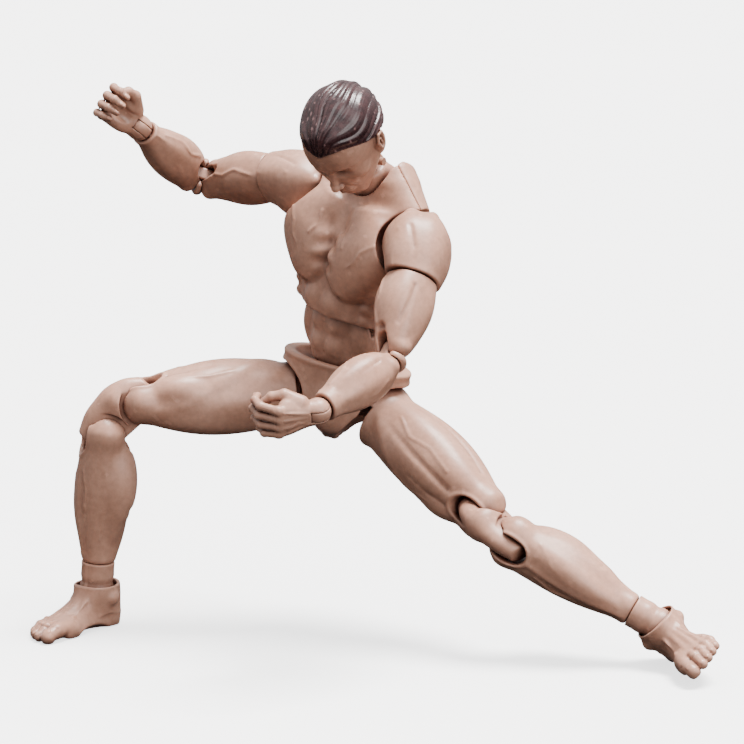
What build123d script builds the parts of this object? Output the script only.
from build123d import *
import os

# A one-twelfth scale articulated body figure, about 156 mm tall when it stands straight.
# Every piece is drawn in the standing attitude: the figure looks along -Y, +Z is up and the
# figure's left is +X. Left pieces are drawn, right pieces are their mirror image. The joint
# list then carries each piece into the resting attitude, a low side lunge.

# ---- running fits and gaps, in millimetres
RUN_FIT = 0.05          # radial play of a pin, peg or trunnion in its bore
SHELL_GAP = 0.3         # gap between shells that move past each other
BALL_GAP = 0.35         # gap between a ball-shaped shell and its socket

# ---- joint centres in the standing attitude
WAIST = (0, 0, 93)
MIDRIFF = (0, 0.5, 104)
NECK_BASE = (0, 2, 128)
HEAD_BASE = (0, 1, 136)
COLLARBONE = (9, 1, 122)
SHOULDER = (17.5, 1, 122)
BICEPS_CUT = (19.5, 1, 112)
ELBOW_TOP = (19.5, 1, 98.9)
ELBOW_LOW = (19.5, 1, 94.1)
WRIST_CUT = (19.5, 1, 77)
WRIST = (19.5, 1, 75.2)
HIP = (8.5, 0, 82)
KNEE_TOP = (8.8, 0.5, 49.75)
KNEE_LOW = (8.8, 0.5, 40.25)
ANKLE_CUT = (8.8, 1, 11)
ANKLE = (8.8, 1, 7.5)

# ---- torso sizes
WAISTBAND_TOP = 91.5
WAIST_CUP = (10.4, 7.8, 5.2)
BELLY_DOME = (8.3, 6.3, 3.4)
RIB_DOME = (8.6, 6.4, 6.2)
RIB_CAVITY = (9.9, 7.5, 7.2)
HIP_BALL = 6.9
HIP_CAVITY = 5.35
HIP_AXLE_R = 1.2
HIP_KNOB_R = 2.4
HIP_PIN_R = 0.8
RING_R = 4.1
LEG_ROOM = 7.5
ROTOR_R = 2.8
TRUNNION_R = 1.0
WAIST_PEG_R = 1.3
BARREL_R = 2.2
BARREL_HALF = 2.4
PIN_R = 0.9

NECK_BALL = 5.2

# ---- arm sizes
SHOULDER_BALL = 6.6
SHOULDER_CAVITY = 4.9
YOKE_PEG_R = 1.2
ELBOW_SLOT_HALF = 1.55
ELBOW_LINK_HALF = 1.35
ELBOW_LOBE_R = 1.95
ELBOW_CHEEK_R = 2.3
ELBOW_PIN_R = 0.7
WRIST_PEG_R = 0.9

# ---- leg sizes
KNEE_SLOT_HALF = 2.6
KNEE_LINK_HALF = 2.3
KNEE_LOBE_R = 3.9
KNEE_CHEEK_R = 4.4
KNEE_PIN_R = 1.0
CUFF_R = 3.25
ANKLE_BALL = 3.55
ANKLE_SOCKET = 3.9
ANKLE_COLLAR_BORE = 4.45    # wide enough for the cuff to tip both ways at once
ANKLE_SLOT_HALF = 2.0
STUB_R = 0.6

# ---- foot and hand sizes
HEEL_Y = 6.3
TOE_Y = -16.6
COLLAR_TOP = 8.7
FINGER_R = 0.8
FINGER_PITCH = 1.75
PALM_LENGTH = 7.4
KNUCKLE_SWELL = 1.06

STANDING_FOOT_YAW = -40.7      # the right foot is flat on the ground and turned this far out


# ---- small building blocks
def shifted(point, dx=0, dy=0, dz=0):
    return (point[0] + dx, point[1] + dy, point[2] + dz)


def ball(centre, radius):
    return Pos(*centre) * Sphere(radius)


def ellipsoid(centre, radii):
    return Pos(*centre) * scale(Sphere(1), by=radii)


def rod_x(centre, radius, half):
    return Pos(*centre) * Rot(0, 90, 0) * Cylinder(radius, 2 * half)


def rod_y(centre, radius, half):
    return Pos(*centre) * Rot(90, 0, 0) * Cylinder(radius, 2 * half)


def rod_z(centre, radius, bottom, top):
    middle = (centre[0], centre[1], (bottom + top) / 2)
    return Pos(*middle) * Cylinder(radius, top - bottom)


def block(x, y, z):
    """A box between two limits along each axis."""
    centre = ((x[0] + x[1]) / 2, (y[0] + y[1]) / 2, (z[0] + z[1]) / 2)
    return Pos(*centre) * Box(x[1] - x[0], y[1] - y[0], z[1] - z[0])


def limb(sections):
    """A smooth limb through ellipses given as (x, y, z, half width, half depth)."""
    outlines = [Pos(x, y, z) * Ellipse(a, b) for x, y, z, a, b in sections]
    return loft([outline.face() for outline in outlines])


def capsule(start, end, radius):
    """A rod from one point to another, with a slightly larger ball at each end."""
    path = Vector(*end) - Vector(*start)
    rod_plane = Plane(origin=start, z_dir=path)
    rod = extrude(rod_plane * Circle(radius), path.length)
    return rod + ball(start, radius * KNUCKLE_SWELL) + ball(end, radius * KNUCKLE_SWELL)


# ---- torso
def make_pelvis():
    shell = limb([
        (0, 0.5, 74.5, 3.4, 5.6),
        (0, 0.5, 78, 7.2, 8.2),
        (0, 0.5, 83, 12.2, 9.2),
        (0, 0.5, 88, 13.4, 9.1),
        (0, 0.3, WAISTBAND_TOP, 12.9, 8.8),
    ])
    shell -= ellipsoid(WAIST, WAIST_CUP)
    shell -= rod_z(WAIST, WAIST_PEG_R + RUN_FIT, 85.3, 90)
    for side in (-1, 1):
        shell -= ball((side * HIP[0], HIP[1], HIP[2]), HIP_BALL + BALL_GAP)
        shell -= leg_opening(side)
    return shell - rod_x((0, HIP[1], HIP[2]), HIP_AXLE_R, HIP[0])


def leg_opening(side):
    """The front-to-back opening that a thigh sweeps as it spreads and swings."""
    x = side * HIP[0]
    inner = sorted((x - side * LEG_ROOM, x + side * 20))
    outer = sorted((x, x + side * 20))
    room = rod_y((x, 0, HIP[2]), LEG_ROOM, 15)
    room += block(inner, (-15, 15), (60, HIP[2]))
    return room + block(outer, (-15, 15), (HIP[2] - 5, HIP[2] + LEG_ROOM))


def make_hip_axle():
    """A bar across the pelvis with a ball for each hip."""
    axle = rod_x((0, HIP[1], HIP[2]), HIP_AXLE_R, HIP[0])
    for x in (-HIP[0], HIP[0]):
        axle += ball((x, HIP[1], HIP[2]), HIP_KNOB_R)
        axle -= rod_y((x, HIP[1], HIP[2]), HIP_PIN_R + RUN_FIT, 4)
    return axle


def make_waist_rotor():
    peg = rod_z(WAIST, WAIST_PEG_R, 85.6, 92)
    barrel = rod_x(WAIST, BARREL_R, BARREL_HALF)
    return peg + barrel - rod_x(WAIST, PIN_R + RUN_FIT, BARREL_HALF + 1)


def make_waist_pin():
    return rod_x(WAIST, PIN_R, BARREL_HALF + 2.2)


def make_abdomen():
    trunk = limb([
        (0, 0, 93, 8.3, 6.3),
        (0, 0, 95.5, 9.1, 6.8),
        (0, 0.2, 100, 8.7, 6.4),
        (0, 0.5, 104, 8.6, 6.4),
    ])
    trunk += ellipsoid(WAIST, BELLY_DOME)
    trunk += ellipsoid(MIDRIFF, RIB_DOME)
    slot = BARREL_HALF + SHELL_GAP
    trunk -= block((-slot, slot), (-9, 9), (86, WAIST[2] + BARREL_R + 0.6))
    trunk -= block((-9, 9), (-2.3, 3.3), (MIDRIFF[2] - BARREL_R - 1.9, 112))
    trunk -= rod_x(WAIST, PIN_R, BARREL_HALF + 2.2)
    trunk -= rod_y(MIDRIFF, PIN_R, 4.4)
    return trunk


def make_midriff_pin():
    return rod_y(MIDRIFF, PIN_R, 4.4)


def make_diaphragm_link():
    barrel = rod_y(MIDRIFF, BARREL_R, 2.4)
    trunnion = rod_x(MIDRIFF, TRUNNION_R, 10.4)
    sleeve = rod_x(MIDRIFF, 1.7, 4.4)
    return barrel + trunnion + sleeve - rod_y(MIDRIFF, PIN_R + RUN_FIT, 3)


def make_chest():
    shell = limb([
        (0, 0.5, 102.5, 10.9, 8.2),
        (0, 0.5, 107, 12.2, 9.0),
        (0, 0.3, 114, 12.9, 9.6),
        (0, 0.8, 120, 13.2, 9.2),
        (0, 1.6, 125, 11.0, 7.2),
        (0, 2.0, 128.5, 6.4, 6.0),
    ])
    shell -= ellipsoid(MIDRIFF, RIB_CAVITY)
    shell -= rod_x(MIDRIFF, TRUNNION_R + RUN_FIT, 10.6)
    shell -= ball(NECK_BASE, NECK_BALL + BALL_GAP)
    for nod in (40, 14, -22):
        shell -= Pos(*NECK_BASE) * Rot(nod, 0, 0) * Pos(0, 0, 5) * Cylinder(NECK_BALL + 0.05, 10)
    for side in (-1, 1):
        shell -= shoulder_room(side)
        shell -= rod_z((side * COLLARBONE[0], COLLARBONE[1], COLLARBONE[2]), PIN_R, 117.6, 126.4)
    return shell


def shoulder_room(side):
    """The pocket that a shoulder ball and its yoke sweep as the shoulder comes forward."""
    pivot = Pos(side * COLLARBONE[0], COLLARBONE[1], COLLARBONE[2])
    reach = SHOULDER[0] - COLLARBONE[0]
    room = pivot * Cylinder(2.3, 7.2)
    room += pivot * Rot(0, 0, -side * 9) * Pos(side * reach / 2, 0, 0) * Box(reach, 7.4, 3.4)
    for forward, extra in ((-9, 0.36), (9, 0.5), (26, 0.4)):
        turn = pivot * Rot(0, 0, -side * forward)
        room += turn * Pos(side * reach, 0, 0) * Sphere(SHOULDER_BALL + extra)
    return room


def make_chest_front(shell):
    return shell & block((-20, 20), (-20, 0.9), (95, 135))


def make_chest_back(shell):
    return shell & block((-20, 20), (0.9, 20), (95, 135))


def make_neck():
    neck = ball(NECK_BASE, NECK_BALL) + limb([
        (0, 2, 127, 4.9, 4.9),
        (0, 1.6, 131, 4.5, 4.5),
        (0, 1.2, 134.4, 4.1, 4.2),
    ])
    neck -= rod_z(HEAD_BASE, WRIST_PEG_R + RUN_FIT, 130, 137)
    return neck


def make_head_swivel():
    peg = rod_z(HEAD_BASE, WRIST_PEG_R, 130.3, 136)
    return peg + ball(HEAD_BASE, 1.5) + rod_x(HEAD_BASE, 0.8, 4.6)


def make_head():
    skull = ellipsoid((0, 1.2, 146.9), (7.4, 8.9, 8.5))
    jaw = limb([
        (0, -3.6, 135.6, 2.6, 3.2),
        (0, -2.2, 139, 5.0, 6.0),
        (0, -0.6, 144, 6.5, 8.2),
    ])
    head = skull + jaw
    head -= ball(HEAD_BASE, 4.8)
    head -= rod_x(HEAD_BASE, 0.8 + RUN_FIT, 4.8)
    return head


def make_hair(head):
    cap = ellipsoid((0, 1.9, 147.3), (7.9, 9.3, 8.8))
    keep = Pos(0, 1.5, 146.4) * Rot(26, 0, 0) * block((-12, 12), (-16, 16), (0, 16))
    return (cap & keep) - head - ball(HEAD_BASE, 8)


# ---- arm, left side
def make_shoulder_yoke():
    hinge = Pos(*COLLARBONE) * Cylinder(1.9, 6.4)
    arm_length = SHOULDER[0] - COLLARBONE[0]
    arm = rod_x(shifted(COLLARBONE, dx=arm_length / 2 - 0.4), YOKE_PEG_R, arm_length / 2 - 0.4)
    return hinge + arm - rod_z(COLLARBONE, PIN_R + RUN_FIT, 118, 126)


def make_collar_pin():
    return rod_z(COLLARBONE, PIN_R, 117.6, 126.4)


def make_shoulder_rotor():
    rotor = ball(SHOULDER, ROTOR_R) + rod_y(SHOULDER, TRUNNION_R, 6.0)
    return rotor - rod_x(shifted(SHOULDER, dx=-2.2), YOKE_PEG_R + RUN_FIT, 1.8)


def make_deltoid():
    cap = ball(SHOULDER, SHOULDER_BALL) + limb([
        (18.2, 1, 119.5, 6.3, 6.2),
        (19.1, 1, 115.5, 6.1, 6.0),
        (19.5, 1, BICEPS_CUT[2] + 0.15, 5.4, 5.4),
    ])
    cap -= ball(SHOULDER, ROTOR_R + SHELL_GAP)
    slot = YOKE_PEG_R + 0.45
    cap -= block((8, SHOULDER[0]), (SHOULDER[1] - slot, SHOULDER[1] + slot), (120.3, 131))
    cap -= block((8, 20.6), (SHOULDER[1] - slot, SHOULDER[1] + slot), (SHOULDER[2], 131))
    cap -= rod_y(SHOULDER, TRUNNION_R + RUN_FIT, 6.1)
    cap -= rod_z(BICEPS_CUT, 1.4 + RUN_FIT, 110, 117.2)
    return cap


def make_upper_arm():
    arm = limb([
        (19.5, 1, BICEPS_CUT[2] - 0.15, 5.4, 5.6),
        (19.5, 0.9, 108.5, 5.5, 6.0),
        (19.5, 1, 104, 4.9, 5.2),
        (19.5, 1, 100.6, 4.5, 4.3),
    ])
    arm -= Pos(19.5, -2.2, 99.2) * Rot(38, 0, 0) * Box(14, 9, 5.2)
    cheeks = rod_x(ELBOW_TOP, ELBOW_CHEEK_R, 4.1)
    cheeks += block((15.4, 23.6), (-1.3, 3.3), (ELBOW_TOP[2], 102))
    arm += cheeks
    arm += rod_z(BICEPS_CUT, 1.4, 111, 117)
    slot = ELBOW_SLOT_HALF
    arm -= block((19.5 - slot, 19.5 + slot), (-8, 8), (94, ELBOW_TOP[2] + ELBOW_LOBE_R + 0.3))
    arm -= rod_x(ELBOW_TOP, ELBOW_PIN_R, 3.6)
    return arm


def make_elbow_top_pin():
    return rod_x(ELBOW_TOP, ELBOW_PIN_R, 3.6)


def make_elbow_low_pin():
    return rod_x(ELBOW_LOW, ELBOW_PIN_R, 3.6)


def make_elbow_link():
    middle = ((ELBOW_TOP[0]), ELBOW_TOP[1], (ELBOW_TOP[2] + ELBOW_LOW[2]) / 2)
    half_span = (ELBOW_TOP[2] - ELBOW_LOW[2]) / 2
    link = rod_x(ELBOW_TOP, ELBOW_LOBE_R, ELBOW_LINK_HALF)
    link += rod_x(ELBOW_LOW, ELBOW_LOBE_R, ELBOW_LINK_HALF)
    link += Pos(*middle) * Box(2 * ELBOW_LINK_HALF, 2.6, 2 * half_span)
    for centre in (ELBOW_TOP, ELBOW_LOW):
        link -= rod_x(centre, ELBOW_PIN_R + RUN_FIT, 3)
    return link


def make_forearm():
    arm = limb([
        (19.5, 1, 92.4, 4.4, 4.3),
        (19.5, 1, 89, 4.9, 5.0),
        (19.5, 1, 84, 4.0, 4.2),
        (19.5, 1, 78.1, 2.7, 3.0),
    ])
    arm -= Pos(19.5, -2.2, 93.8) * Rot(-38, 0, 0) * Box(14, 9, 5.2)
    arm += rod_x(ELBOW_LOW, ELBOW_CHEEK_R, 4.1)
    arm += block((15.4, 23.6), (-1.3, 3.3), (91, ELBOW_LOW[2]))
    slot = ELBOW_SLOT_HALF
    arm -= block((19.5 - slot, 19.5 + slot), (-8, 8), (ELBOW_LOW[2] - ELBOW_LOBE_R - 0.3, 99))
    arm -= rod_x(ELBOW_LOW, ELBOW_PIN_R, 3.6)
    arm -= rod_z(WRIST_CUT, WRIST_PEG_R + RUN_FIT, 77, 83)
    return arm


def make_wrist_peg():
    peg = rod_z(WRIST_CUT, WRIST_PEG_R, WRIST[2], 82.7)
    return peg + ball(WRIST, 1.25) + rod_y(WRIST, 0.6, 2.2)


def make_hand(knuckle_bend, finger_bend):
    """A hand with the palm facing the body and the thumb forward."""
    palm_top = WRIST[2] - 1.4
    palm_bottom = palm_top - PALM_LENGTH
    palm = block((18.1, 20.9), (-2.2, 4.4), (palm_bottom, palm_top))
    palm = fillet(palm.edges().filter_by(Axis.Z), 1.1)
    hand = palm + ball(WRIST, 2.35) + ball((19.4, 0.2, palm_top - 2), 2.3)
    for finger in range(4):
        y = -1.35 + finger * FINGER_PITCH
        length = 3.6 - 0.25 * abs(finger - 1.3)
        hand += curled_finger((19.7, y, palm_bottom + 0.4), length, knuckle_bend, finger_bend)
    hand += capsule((18.6, -1.6, palm_top - 1.6), (17.3, -3.6, palm_top - 4.6), 1.15)
    hand += capsule((17.3, -3.6, palm_top - 4.6), (16.6, -3.2, palm_top - 7.2), 0.95)
    hand -= ball(WRIST, 1.25 + SHELL_GAP)
    hand -= rod_y(WRIST, 0.6 + RUN_FIT, 2.6)
    hand -= wrist_slot()
    return hand


def wrist_slot():
    half = WRIST_PEG_R + 0.2
    low = WRIST[2] - 0.2
    return block((14, 25), (WRIST[1] - half, WRIST[1] + half), (low, WRIST[2] + 3))


def curled_finger(root, length, knuckle_bend, finger_bend):
    """Three round segments that curl toward the palm."""
    finger = None
    start = Vector(*root)
    bend = knuckle_bend
    for share in (1.0, 0.68, 0.5):
        step = Vector(0, 0, -length * share).rotate(Axis.Y, bend)
        piece = capsule(tuple(start), tuple(start + step), FINGER_R)
        finger = piece if finger is None else finger + piece
        start = start + step
        bend += finger_bend
    return finger


# ---- leg, left side
def make_hip_rotor():
    """A half ring pinned to the hip knob, with the stub that the hip link swings on."""
    x, y, z = HIP
    ring = rod_z(HIP, RING_R, z - 1.1, z + 1.1) - rod_z(HIP, RING_R - 1.1, z - 2, z + 2)
    ring &= block((x - 1.3, x + 6), (-6, 6), (z - 2, z + 2))
    for front in (-1, 1):
        ring += rod_y((x, y + front * 1.95, z), HIP_PIN_R, 1.5)
    return ring + rod_x((x + 4.35, y, z), 0.9, 0.7)


def make_hip_link():
    """A curved arm that hangs from the ring's stub and ends in the peg that the thigh turns on."""
    x, y, z = HIP
    arm = ball(HIP, RING_R + 0.95) - ball(HIP, RING_R + 0.25)
    arm &= block((x - 1.5, x + 6), (y - 1.6, y + 1.6), (z - 6, z + 1.7))
    arm += rod_z(HIP, 1.5, 69.6, z - RING_R - 0.4)
    return arm - rod_x((x + 4.3, y, z), 0.9 + RUN_FIT, 1.5)


def make_thigh():
    thigh = limb([
        (8.6, 0, 80.2, 6.4, 6.5),
        (8.8, 0.1, 76, 7.0, 7.0),
        (9.0, 0.2, 70, 7.5, 7.9),
        (9.1, 0.4, 63, 7.1, 7.6),
        (9.0, 0.5, 57, 6.0, 6.4),
        (8.8, 0.5, 52, 5.5, 5.0),
        (8.8, 0.5, 49.75, 5.4, 4.3),
    ])
    thigh += ball(HIP, HIP_BALL)
    thigh += rod_x(KNEE_TOP, KNEE_CHEEK_R, 5.3)
    thigh -= ball(HIP, HIP_CAVITY)
    thigh -= block((-2, HIP[0] + 3.3), (-9, 9), (HIP[2] - 1.7, 90))
    thigh -= rod_z(HIP, 1.5 + RUN_FIT, 69.3, 77)
    slot = KNEE_SLOT_HALF
    thigh -= block((8.8 - slot, 8.8 + slot), (-10, 12), (44, KNEE_TOP[2] + KNEE_LOBE_R + 0.4))
    thigh -= rod_x(KNEE_TOP, KNEE_PIN_R, 4.9)
    return thigh


def make_knee_top_pin():
    return rod_x(KNEE_TOP, KNEE_PIN_R, 4.9)


def make_knee_low_pin():
    return rod_x(KNEE_LOW, KNEE_PIN_R, 4.9)


def make_knee_link():
    link = rod_x(KNEE_TOP, KNEE_LOBE_R, KNEE_LINK_HALF) + rod_x(KNEE_LOW, KNEE_LOBE_R, KNEE_LINK_HALF)
    link += block((8.8 - KNEE_LINK_HALF, 8.8 + KNEE_LINK_HALF), (-2.9, 3.7), (KNEE_LOW[2], KNEE_TOP[2]))
    for centre in (KNEE_TOP, KNEE_LOW):
        link -= rod_x(centre, KNEE_PIN_R + RUN_FIT, 4)
    return link


def make_shin():
    shin = limb([
        (8.8, 0.5, 40.25, 5.2, 4.3),
        (8.8, 0.7, 36, 5.3, 5.2),
        (8.8, 1.6, 29, 5.9, 6.2),
        (8.8, 1.5, 22, 4.5, 4.9),
        (8.8, 1.0, 16, 3.4, 3.7),
        (8.8, 1.0, 13.8, 3.25, 3.4),
    ])
    shin += rod_x(KNEE_LOW, KNEE_CHEEK_R, 5.1)
    slot = KNEE_SLOT_HALF
    shin -= block((8.8 - slot, 8.8 + slot), (-10, 12), (KNEE_LOW[2] - KNEE_LOBE_R - 0.4, 47))
    shin -= rod_x(KNEE_LOW, KNEE_PIN_R, 4.9)
    shin -= rod_z(ANKLE_CUT, 1.3 + RUN_FIT, 13, 20)
    return shin


def make_ankle_cuff():
    cuff = rod_z(ANKLE_CUT, CUFF_R, 10.4, 13.5) + rod_z(ANKLE_CUT, 1.3, 13, 19.6)
    dome = ball(ANKLE, ANKLE_BALL) & block((0, 20), (-9, 9), (6.2, 10.5))
    dome -= block((8.8 - ANKLE_SLOT_HALF, 8.8 + ANKLE_SLOT_HALF), (-9, 9), (3, 10.1))
    return cuff + dome - rod_x(ANKLE, STUB_R + RUN_FIT, 5)


def make_ankle_link():
    return ball(ANKLE, 1.7) + rod_x(ANKLE, STUB_R, 3.1) + rod_y(ANKLE, STUB_R, 5.0)


def make_foot():
    sole = make_face(Spline(
        (8.8, HEEL_Y, 0), (11.7, 4.0, 0), (11.5, -2.6, 0), (13.2, -10.0, 0), (12.4, -14.2, 0),
        (8.4, TOE_Y + 0.2, 0), (5.0, TOE_Y + 0.3, 0), (4.2, -11.0, 0), (5.7, -3.6, 0), (5.8, 3.8, 0),
        periodic=True))
    plan = extrude(sole, 12)
    side_line = Polyline(
        (0, HEEL_Y + 0.5, 0), (0, HEEL_Y + 0.2, 4), (0, 6.0, COLLAR_TOP), (0, -4.4, COLLAR_TOP),
        (0, -8.4, 5.6), (0, -12.8, 3.3), (0, TOE_Y - 0.6, 2.6), (0, TOE_Y - 0.6, 0), close=True)
    profile = Pos(-5, 0, 0) * extrude(make_face(side_line), 30, dir=(1, 0, 0))
    foot = plan & profile
    foot += rod_z(ANKLE, 4.9, 4.2, COLLAR_TOP)
    foot -= ball(ANKLE, ANKLE_SOCKET)
    foot -= rod_z(ANKLE, ANKLE_COLLAR_BORE, ANKLE[2], 12)
    return foot - rod_y(ANKLE, STUB_R + RUN_FIT, 5.05)


# ---- joints: name, parent, pivot, axis and positive direction, rest, lowest, highest (degrees)
# Angles count from the standing attitude. Positive is forward, outward or bent.
CENTRE_JOINTS = [
    ("waist_rotor", "pelvis", WAIST, "+Z", -33, -40, 40),
    ("abdomen", "waist_rotor", WAIST, "+X", 18, -8, 24),
    ("diaphragm_link", "abdomen", MIDRIFF, "+Y", 4, -12, 12),
    ("chest", "diaphragm_link", MIDRIFF, "+X", -15, -20, 8),
    ("neck", "chest", NECK_BASE, "+X", 34, -20, 38),
    ("head_swivel", "neck", HEAD_BASE, "+Z", 19, -75, 75),
    ("head", "head_swivel", HEAD_BASE, "+X", 22, -25, 25),
]


def side_joints(side, rests):
    """The joints of one side: side is "l" or "r"; rests are the resting angles by child."""
    table = [
        ("shoulder_yoke", "chest", COLLARBONE, "back", -25, 8),
        ("shoulder_rotor", "shoulder_yoke", SHOULDER, "-X", -35, 170),
        ("deltoid", "shoulder_rotor", SHOULDER, "out", 8, 90),
        ("upper_arm", "deltoid", BICEPS_CUT, "back", -90, 90),
        ("elbow_link", "upper_arm", ELBOW_TOP, "-X", 0, 55),
        ("forearm", "elbow_link", ELBOW_LOW, "-X", 0, 55),
        ("wrist_peg", "forearm", WRIST_CUT, "back", -90, 90),
        ("hand", "wrist_peg", WRIST, "out", -45, 45),
        ("hip_rotor", "pelvis", HIP, "out", 0, 85),
        ("hip_link", "hip_rotor", HIP, "-X", -20, 45),
        ("thigh", "hip_link", HIP, "in", -90, 35),
        ("knee_link", "thigh", KNEE_TOP, "+X", 0, 65),
        ("shin", "knee_link", KNEE_LOW, "+X", 0, 65),
        ("ankle_cuff", "shin", ANKLE_CUT, "in", -40, 40),
        ("ankle_link", "ankle_cuff", ANKLE, "+X", -22, 22),
        ("foot", "ankle_link", ANKLE, "out", -18, 18),
    ]
    sign = 1 if side == "l" else -1
    turns = {
        "back": "+Z" if sign > 0 else "-Z",
        "in": "-Z" if sign > 0 else "+Z",
        "out": "-Y" if sign > 0 else "+Y",
    }
    rows = []
    for child, parent, pivot, axis, low, high in table:
        one_sided = parent not in ("chest", "pelvis")
        parent_name = f"{parent}_{side}" if one_sided else parent
        place = (sign * pivot[0], pivot[1], pivot[2])
        rows.append((f"{child}_{side}", parent_name, place, turns.get(axis, axis), rests[child], low, high))
    return rows


LEFT_REST = {
    "shoulder_yoke": -19, "shoulder_rotor": 26, "deltoid": 33, "upper_arm": 1, "elbow_link": 14,
    "forearm": 24, "wrist_peg": 30, "hand": -24, "hip_rotor": 67.79, "hip_link": 27.6, "thigh": 11.1,
    "knee_link": 0, "shin": 29, "ankle_cuff": -28, "ankle_link": 18, "foot": -16,
}
RIGHT_REST = {
    "shoulder_yoke": -8, "shoulder_rotor": 12, "deltoid": 70, "upper_arm": 22, "elbow_link": 46,
    "forearm": 44, "wrist_peg": 65, "hand": 20, "hip_rotor": 79.7, "hip_link": 26.2, "thigh": -85.6,
    "knee_link": 42, "shin": 45, "ankle_cuff": 37, "ankle_link": 0, "foot": -6,
}
JOINTS = CENTRE_JOINTS + side_joints("l", LEFT_REST) + side_joints("r", RIGHT_REST)

AXES = {"X": (1, 0, 0), "Y": (0, 1, 0), "Z": (0, 0, 1)}


def axis_vector(axis):
    sign = -1 if axis[0] == "-" else 1
    return tuple(sign * value for value in AXES[axis[1]])


def turned_about(pivot, axis, angle):
    """The placement that turns a piece by an angle about an axis through a pivot."""
    x, y, z = (angle * value for value in axis_vector(axis))
    return Pos(*pivot) * Rot(x, y, z) * Pos(-pivot[0], -pivot[1], -pivot[2])


def body_places(angles=None):
    """Where each body goes, with the right foot flat on the ground in the resting attitude."""
    places = {"pelvis": Pos(0, 0, 0)}
    for child, parent, pivot, axis, rest, low, high in JOINTS:
        angle = rest if angles is None else angles[child]
        places[child] = places[parent] * turned_about(pivot, axis, angle)
    standing = Rot(0, 0, STANDING_FOOT_YAW)
    root = standing * places["foot_r"].inverse()
    return {body: root * place for body, place in places.items()}


# ---- every node, with the body it belongs to
def standing_nodes():
    """All pieces in the standing attitude, as {node: (body, solid)}."""
    chest = make_chest()
    head = make_head()
    nodes = {
        "pelvis": ("pelvis", make_pelvis()),
        "hip_axle": ("pelvis", make_hip_axle()),
        "waist_rotor": ("waist_rotor", make_waist_rotor()),
        "waist_pin": ("abdomen", make_waist_pin()),
        "abdomen": ("abdomen", make_abdomen()),
        "midriff_pin": ("abdomen", make_midriff_pin()),
        "diaphragm_link": ("diaphragm_link", make_diaphragm_link()),
        "chest_front": ("chest", make_chest_front(chest)),
        "chest_back": ("chest", make_chest_back(chest)),
        "neck": ("neck", make_neck()),
        "head_swivel": ("head_swivel", make_head_swivel()),
        "head": ("head", head),
        "hair": ("head", make_hair(head)),
    }
    left = {
        "shoulder_yoke": ("shoulder_yoke", make_shoulder_yoke()),
        "collar_pin": ("chest", make_collar_pin()),
        "shoulder_rotor": ("shoulder_rotor", make_shoulder_rotor()),
        "deltoid": ("deltoid", make_deltoid()),
        "upper_arm": ("upper_arm", make_upper_arm()),
        "elbow_top_pin": ("upper_arm", make_elbow_top_pin()),
        "elbow_link": ("elbow_link", make_elbow_link()),
        "elbow_low_pin": ("forearm", make_elbow_low_pin()),
        "forearm": ("forearm", make_forearm()),
        "wrist_peg": ("wrist_peg", make_wrist_peg()),
        "hip_rotor": ("hip_rotor", make_hip_rotor()),
        "hip_link": ("hip_link", make_hip_link()),
        "thigh": ("thigh", make_thigh()),
        "knee_top_pin": ("thigh", make_knee_top_pin()),
        "knee_link": ("knee_link", make_knee_link()),
        "knee_low_pin": ("shin", make_knee_low_pin()),
        "shin": ("shin", make_shin()),
        "ankle_cuff": ("ankle_cuff", make_ankle_cuff()),
        "ankle_link": ("ankle_link", make_ankle_link()),
        "foot": ("foot", make_foot()),
    }
    for node, (body, solid) in left.items():
        body_l = body if body in ("chest", "pelvis") else body + "_l"
        body_r = body if body in ("chest", "pelvis") else body + "_r"
        nodes[node + "_l"] = (body_l, solid)
        nodes[node + "_r"] = (body_r, mirror(solid, about=Plane.YZ))
    nodes["hand_l"] = ("hand_l", make_hand(25, 35))
    nodes["hand_r"] = ("hand_r", mirror(make_hand(35, 50), about=Plane.YZ))
    return nodes


def rest_shift(solids):
    """The move along the ground that puts the origin under the middle of the whole figure."""
    boxes = [solid.bounding_box() for solid in solids]
    middle_x = (min(box.min.X for box in boxes) + max(box.max.X for box in boxes)) / 2
    middle_y = (min(box.min.Y for box in boxes) + max(box.max.Y for box in boxes)) / 2
    return Pos(-middle_x, -middle_y, 0)


def main():
    os.makedirs("parts", exist_ok=True)
    places = body_places()
    placed = {node: places[body] * solid for node, (body, solid) in standing_nodes().items()}
    shift = rest_shift(list(placed.values()))
    for node, solid in placed.items():
        export_step(shift * solid, f"parts/{node}.step")


if __name__ == "__main__":
    main()
